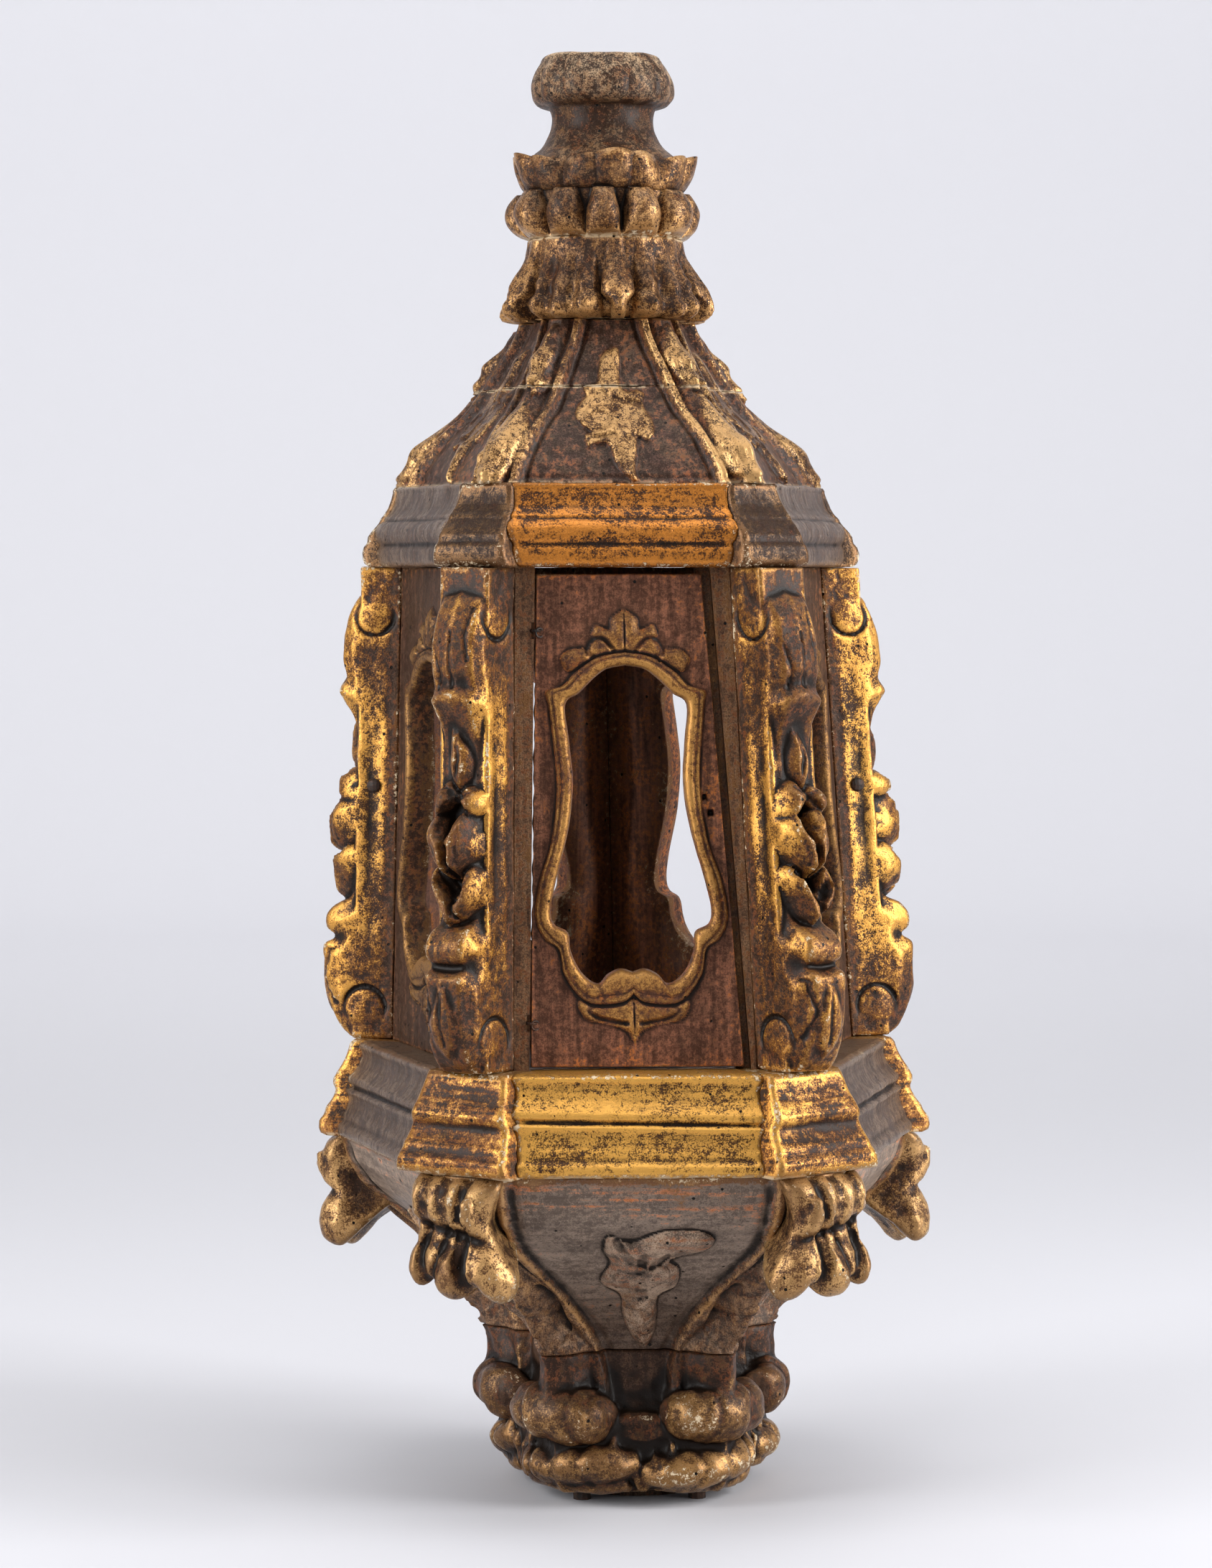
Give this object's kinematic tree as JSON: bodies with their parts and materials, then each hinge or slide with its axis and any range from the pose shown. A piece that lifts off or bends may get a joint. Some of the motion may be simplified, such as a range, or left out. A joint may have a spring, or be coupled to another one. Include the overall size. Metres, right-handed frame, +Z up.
{
  "type": "standing lantern",
  "caption": "Five-sided carved and gilded wooden lantern on a carved foot, with pierced sides, a hinged pierced door and a domed, vented top.",
  "frame": {"origin": "centre of the foot's flat underside, on the floor", "axes": "+Z up through the crown, -Y towards the door, +X to the right of a viewer who faces the door; the stack's own axis leans 1.4 degrees towards -X as it rises"},
  "size_m": [0.3653, 0.3485, 0.8],
  "materials": {
    "gilt_wood": "carved wood, worn gold leaf over red bole and gesso, darkened with age",
    "dark_wood": "dark brown painted wood with traces of gilding",
    "bare_wood": "old unpainted wood",
    "iron": "forged iron, dark with rust"
  },
  "bodies": {
    "case": {"bowl_block": "dark_wood", "bracket_back": "gilt_wood", "bracket_front_left": "gilt_wood", "bracket_front_right": "gilt_wood", "bracket_left": "gilt_wood", "bracket_nail_left": "iron", "bracket_nail_right": "iron", "bracket_right": "gilt_wood", "candle_cup": "iron", "chimney_collar": "gilt_wood", "crown_board": "bare_wood", "dome_lower": "gilt_wood", "dome_upper": "gilt_wood", "door_post_left": "dark_wood", "door_post_right": "dark_wood", "floor_board": "bare_wood", "foot_block": "gilt_wood", "foot_disc": "bare_wood", "foot_stub_back": "iron", "foot_stub_front_right": "iron", "foot_stub_left": "iron", "hinge_eye_post_lower": "iron", "hinge_eye_post_upper": "iron", "leaf_drop_back": "gilt_wood", "leaf_drop_front_left": "gilt_wood", "leaf_drop_front_right": "gilt_wood", "leaf_drop_left": "gilt_wood", "leaf_drop_right": "gilt_wood", "leaf_skirt": "gilt_wood", "lower_block_back": "gilt_wood", "lower_block_front_left": "gilt_wood", "lower_block_front_right": "gilt_wood", "lower_block_left": "gilt_wood", "lower_block_right": "gilt_wood", "lower_moulding_back_left": "gilt_wood", "lower_moulding_back_right": "gilt_wood", "lower_moulding_front": "gilt_wood", "lower_moulding_left": "gilt_wood", "lower_moulding_right": "gilt_wood", "panel_back_left": "dark_wood", "panel_back_right": "dark_wood", "panel_left": "dark_wood", "panel_right": "dark_wood", "upper_block_back": "gilt_wood", "upper_block_front_left": "gilt_wood", "upper_block_front_right": "gilt_wood", "upper_block_left": "gilt_wood", "upper_block_right": "gilt_wood", "upper_moulding_back_left": "gilt_wood", "upper_moulding_back_right": "gilt_wood", "upper_moulding_front": "gilt_wood", "upper_moulding_left": "gilt_wood", "upper_moulding_right": "gilt_wood"},
    "door": {"door_panel": "dark_wood", "hinge_eye_door_lower": "iron", "hinge_eye_door_upper": "iron"}
  },
  "joints": [
    {"name": "door_hinge", "type": "hinge", "parent": "case", "child": "door", "pos_m": [-0.06007, -0.1127, 0.379], "axis": [-0.0117, -0.0373, -0.9992], "range_deg": [0, 105]}
  ]
}
